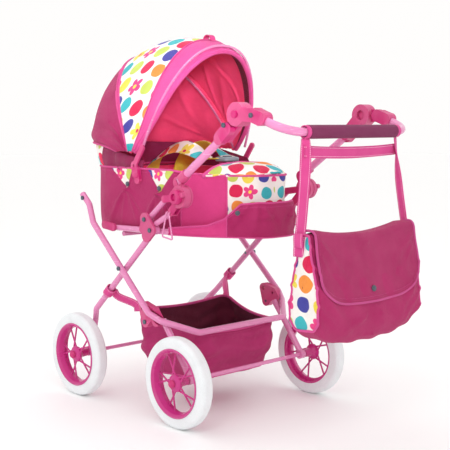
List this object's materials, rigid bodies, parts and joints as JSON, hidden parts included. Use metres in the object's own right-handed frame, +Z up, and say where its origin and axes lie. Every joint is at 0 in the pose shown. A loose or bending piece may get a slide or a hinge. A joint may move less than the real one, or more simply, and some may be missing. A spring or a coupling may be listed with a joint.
{
  "type": "doll stroller",
  "caption": "Doll's pram with a folding hood, carrycot, printed lining, scissor frame, spoked wheels, under-basket, tilting handle and a shoulder bag on the grip.",
  "frame": {"origin": "on the floor under the middle of the whole object", "axes": "+Z up, +X towards the handle and the person pushing, -X towards the hood end, +Y to the stroller's right"},
  "size_m": [0.7476, 0.413, 0.754],
  "materials": {
    "tyre_foam": "matt foam",
    "rim_plastic": "glossy moulded plastic",
    "pink_tube": "gloss paint on steel tube",
    "hot_pink_plastic": "satin moulded plastic",
    "steel_bolt": "dark zinc",
    "magenta_fabric": "plain woven polyester",
    "pink_fabric": "plain woven polyester",
    "printed_fabric": "woven, spot and flower print",
    "lining_fabric": "plain woven lining",
    "webbing": "folded and stitched strap",
    "grip_foam": "closed-cell foam",
    "board": "hardboard",
    "buckle_plastic": "matt moulded plastic"
  },
  "bodies": {
    "seat": {"seat_rail": "pink_tube", "support_links": "hot_pink_plastic", "carrycot_tub": "magenta_fabric", "base_board": "board", "mattress": "lining_fabric", "foot_cover": "printed_fabric", "rear_apron": "pink_fabric", "harness": "printed_fabric", "harness_buckle": "buckle_plastic", "hood_brackets": "hot_pink_plastic", "hood_front_panel": "magenta_fabric"},
    "front_legs": {"front_axle": "pink_tube", "front_axle_caps": "hot_pink_plastic", "front_leg_left": "pink_tube", "front_leg_right": "pink_tube", "upper_brackets": "hot_pink_plastic", "push_tubes": "pink_tube", "hub_casting_left": "hot_pink_plastic", "hub_casting_right": "hot_pink_plastic", "front_frame_bolts": "steel_bolt", "basket_straps": "webbing"},
    "rear_legs": {"rear_axle": "pink_tube", "rear_axle_caps": "hot_pink_plastic", "rear_frame_tube": "pink_tube", "leg_stubs": "pink_tube", "lower_bracket_left": "hot_pink_plastic", "lower_bracket_right": "hot_pink_plastic", "rear_frame_bolts": "steel_bolt", "basket": "magenta_fabric"},
    "handle": {"handle_tube_left": "pink_tube", "handle_tube_right": "pink_tube", "handle_hubs": "hot_pink_plastic", "adjuster_lower_left": "hot_pink_plastic", "adjuster_lower_right": "hot_pink_plastic", "handle_screws": "steel_bolt"},
    "grip": {"adjuster_upper_left": "hot_pink_plastic", "adjuster_upper_right": "hot_pink_plastic", "grip_screws": "steel_bolt", "grip_bar": "pink_tube", "grip_foam": "grip_foam"},
    "bag": {"bag_body": "magenta_fabric", "bag_straps": "webbing"},
    "bag_cover": {"bag_flap": "magenta_fabric"},
    "hood_mid": {"hood_bow_mid": "pink_tube"},
    "hood_rim": {"hood_bow_rim": "pink_tube", "hood_shell": "printed_fabric"},
    "wheel_front_left": {"tyre_front_left": "tyre_foam", "rim_front_left": "rim_plastic"},
    "wheel_front_right": {"tyre_front_right": "tyre_foam", "rim_front_right": "rim_plastic"},
    "wheel_rear_left": {"tyre_rear_left": "tyre_foam", "rim_rear_left": "rim_plastic"},
    "wheel_rear_right": {"tyre_rear_right": "tyre_foam", "rim_rear_right": "rim_plastic"},
    "lock_ring_left": {"lock_ring_left": "pink_tube"},
    "knob_left": {"hub_knob_left": "hot_pink_plastic"},
    "button_left": {"adjuster_button_left": "hot_pink_plastic"},
    "lock_ring_right": {"lock_ring_right": "pink_tube"},
    "knob_right": {"hub_knob_right": "hot_pink_plastic"},
    "button_right": {"adjuster_button_right": "hot_pink_plastic"}
  },
  "joints": [
    {"name": "frame_fold", "type": "hinge", "parent": "seat", "child": "front_legs", "pos_m": [-0.03056, 0, 0.369], "axis": [0, 1, 0], "range_deg": [0, 30]},
    {"name": "rear_leg_fold", "type": "hinge", "parent": "front_legs", "child": "rear_legs", "pos_m": [-0.12056, 0, 0.286], "axis": [0, -1, 0], "range_deg": [0, 60]},
    {"name": "handle_fold", "type": "hinge", "parent": "front_legs", "child": "handle", "pos_m": [0.05444, 0, 0.438], "axis": [0, -1, 0], "range_deg": [-12, 40]},
    {"name": "grip_tilt", "type": "hinge", "parent": "handle", "child": "grip", "pos_m": [0.20744, 0, 0.59], "axis": [0, 1, 0], "range_deg": [-30, 25]},
    {"name": "bag_swing", "type": "hinge", "parent": "grip", "child": "bag", "pos_m": [0.31944, 0, 0.56], "axis": [0, -1, 0], "range_deg": [-8, 30]},
    {"name": "bag_flap_lift", "type": "hinge", "parent": "bag", "child": "bag_cover", "pos_m": [0.32044, 0, 0.3916], "axis": [0, -1, 0], "range_deg": [0, 110]},
    {"name": "hood_fold", "type": "hinge", "parent": "seat", "child": "hood_mid", "pos_m": [-0.11456, 0, 0.49], "axis": [0, -1, 0], "range_deg": [0, 24]},
    {"name": "hood_rim_fold", "type": "hinge", "parent": "hood_mid", "child": "hood_rim", "pos_m": [-0.11456, 0, 0.49], "axis": [0, -1, 0], "range_deg": [0, 24]},
    {"name": "wheel_front_left_spin", "type": "hinge", "parent": "front_legs", "child": "wheel_front_left", "pos_m": [-0.26856, -0.185, 0.0875], "axis": [0, 1, 0], "continuous": true},
    {"name": "wheel_front_right_spin", "type": "hinge", "parent": "front_legs", "child": "wheel_front_right", "pos_m": [-0.26856, 0.185, 0.0875], "axis": [0, 1, 0], "continuous": true},
    {"name": "wheel_rear_left_spin", "type": "hinge", "parent": "rear_legs", "child": "wheel_rear_left", "pos_m": [0.05744, -0.185, 0.0875], "axis": [0, 1, 0], "continuous": true},
    {"name": "wheel_rear_right_spin", "type": "hinge", "parent": "rear_legs", "child": "wheel_rear_right", "pos_m": [0.05744, 0.185, 0.0875], "axis": [0, 1, 0], "continuous": true},
    {"name": "lock_ring_left_swing", "type": "hinge", "parent": "front_legs", "child": "lock_ring_left", "pos_m": [0.01744, -0.179, 0.408], "axis": [0, -1, 0], "range_deg": [-15, 25]},
    {"name": "hub_knob_left_turn", "type": "hinge", "parent": "front_legs", "child": "knob_left", "pos_m": [0.05444, -0.185, 0.438], "axis": [0, 1, 0], "range_deg": [0, 90]},
    {"name": "adjuster_button_left_push", "type": "slide", "parent": "handle", "child": "button_left", "axis": [0, 1, 0], "range_m": [0, 0.004], "stiffness_N_per_m": 300},
    {"name": "lock_ring_right_swing", "type": "hinge", "parent": "front_legs", "child": "lock_ring_right", "pos_m": [0.01744, 0.179, 0.408], "axis": [0, -1, 0], "range_deg": [-15, 25]},
    {"name": "hub_knob_right_turn", "type": "hinge", "parent": "front_legs", "child": "knob_right", "pos_m": [0.05444, 0.185, 0.438], "axis": [0, 1, 0], "range_deg": [0, 90]},
    {"name": "adjuster_button_right_push", "type": "slide", "parent": "handle", "child": "button_right", "axis": [0, -1, 0], "range_m": [0, 0.004], "stiffness_N_per_m": 300}
  ],
  "couplings": [
    {"joint": "rear_leg_fold", "follows": "frame_fold", "ratio": 2},
    {"joint": "hood_rim_fold", "follows": "hood_fold", "ratio": 1}
  ]
}
